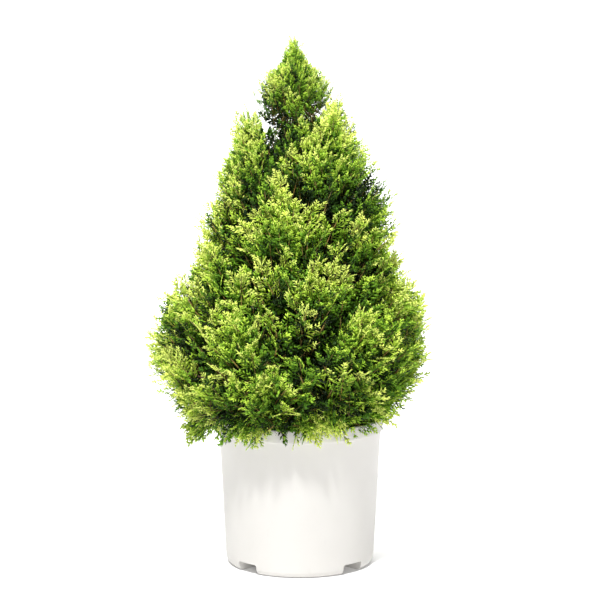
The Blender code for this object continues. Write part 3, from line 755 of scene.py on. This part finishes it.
# potting mix with bark chips

chips = dict(count=2600, seed=9, edge=0.006, aroundTrunk=0.004, sizes=(0.004, 0.011), vary=(0.7, 1.2),
             bury=0.002, scatter=0.003, tilt=0.3,
             corners=((-1, 0, 0.3), (1, 0, 0.3), (0.1, 0.5, 0.05), (-0.1, -0.5, -0.05)))


def makeMix():
    rng = np.random.default_rng(chips["seed"])
    outer = wallRadius(mix["height"]) - pot["wall"] - mix["side"]
    heap = turned("mixHeap", [
        (0, mix["height"] + mix["crowning"] - mix["sink"]),
        (outer * 0.5, mix["height"] + mix["half"] - mix["sink"]),
        (outer, mix["height"] - mix["sink"]),
        (outer, mix["height"] - mix["deep"]),
        (0, mix["height"] - mix["deep"]),
    ])
    mesh = settled(heap)
    bpy.data.objects.remove(heap)
    pieceFrom("mixHeap", mesh, ["potting_mix"], [mixMaterial])
    spots = np.sqrt(rng.uniform(0, 1, chips["count"])) * (outer - chips["edge"])
    angles = rng.uniform(0, 2 * pi, len(spots))
    parts = []
    for spot, angle in zip(spots, angles):
        if spot < trunk["flare"] + chips["aroundTrunk"]:
            continue
        size = rng.uniform(*chips["sizes"])
        surface = mix["height"] + mix["crowning"] * (1 - spot / outer)
        height = surface - chips["bury"] + rng.uniform(0, chips["scatter"])
        centre = np.array([spot * cos(angle), spot * sin(angle), height])
        heading = unit(np.array([*rng.uniform(-1, 1, 2), rng.uniform(-chips["tilt"], chips["tilt"])]))
        side = unit(np.cross((0, 0, 1.0), heading))
        normal = np.cross(heading, side)
        shape = np.array(chips["corners"]) * rng.uniform(*chips["vary"], (4, 1)) * size / 2
        parts.append((centre + shape @ np.array([heading, side, normal]), leafFaces))
    mesh = meshFrom("mixChips", *gather(parts))
    pieceFrom("mixChips", mesh, [], [chipMaterial])


makeMix()
print("potting mix made")


# floor, light and camera

def lamp(name, spot, aim, size, power):
    data = bpy.data.lights.new(name, "AREA")
    data.size = size
    data.energy = power
    obj = bpy.data.objects.new(name, data)
    bpy.context.scene.collection.objects.link(obj)
    obj.location = spot
    obj.rotation_euler = (Vector(aim) - Vector(spot)).to_track_quat("-Z", "Y").to_euler()


stage = dict(near=-6, bendFrom=3.5, bendRadius=1.5, high=6, wide=8, glow=0.10, world=0.17,
             lens=108.7, sensor=36, camera=(0, -3.0, 0.80), aim=(0, 0, 0.4432))
lamps = (
    ("key", (-0.5, -2.1, 3.5), (0, 0, 0.45), 0.3, 188),
    ("fill", (0.5, -3.4, 0.7), (0, 0, 0.35), 0.5, 22),
    ("backdrop", (0, 2.2, 4.2), (0, 5, 1.0), 3.0, 330),
)


def makeStage():
    bend, turn = stage["bendFrom"], stage["bendRadius"]
    curve = [(bend + turn * sin(radians(a)), turn - turn * cos(radians(a))) for a in range(10, 91, 10)]
    profile = [(stage["near"], 0), (bend, 0), *curve, (bend + turn, stage["high"])]
    points = np.array([(x, y, z) for y, z in profile for x in (-stage["wide"], stage["wide"])])
    rows = np.arange(len(profile) - 1)[:, None] * 2
    mesh = meshFrom("floor", points, rows + np.array([(0, 1, 3, 2)]))
    mesh.shade_smooth()
    floor = bpy.data.objects.new("floor", mesh)
    bpy.context.scene.collection.objects.link(floor)
    pale = Finish("paleFloor", Base_Color=(0.93, 0.93, 0.93), Roughness=0.9, Emission_Color=(1.0, 1.0, 1.0),
                  Emission_Strength=stage["glow"])
    mesh.materials.append(pale.material)
    world = bpy.data.worlds.new("studio")
    bpy.context.scene.world = world
    world.use_nodes = True
    world.node_tree.nodes["Background"].inputs["Color"].default_value = (1.0, 1.0, 1.0, 1.0)
    world.node_tree.nodes["Background"].inputs["Strength"].default_value = stage["world"]
    for settings in lamps:
        lamp(*settings)
    data = bpy.data.cameras.new("camera")
    data.lens = stage["lens"]
    data.sensor_width = stage["sensor"]
    camera = bpy.data.objects.new("camera", data)
    bpy.context.scene.collection.objects.link(camera)
    camera.location = stage["camera"]
    camera.rotation_euler = (Vector(stage["aim"]) - camera.location).to_track_quat("-Z", "Y").to_euler()
    bpy.context.scene.camera = camera
    bpy.context.scene.view_settings.view_transform = "Standard"


makeStage()
print("stage made")
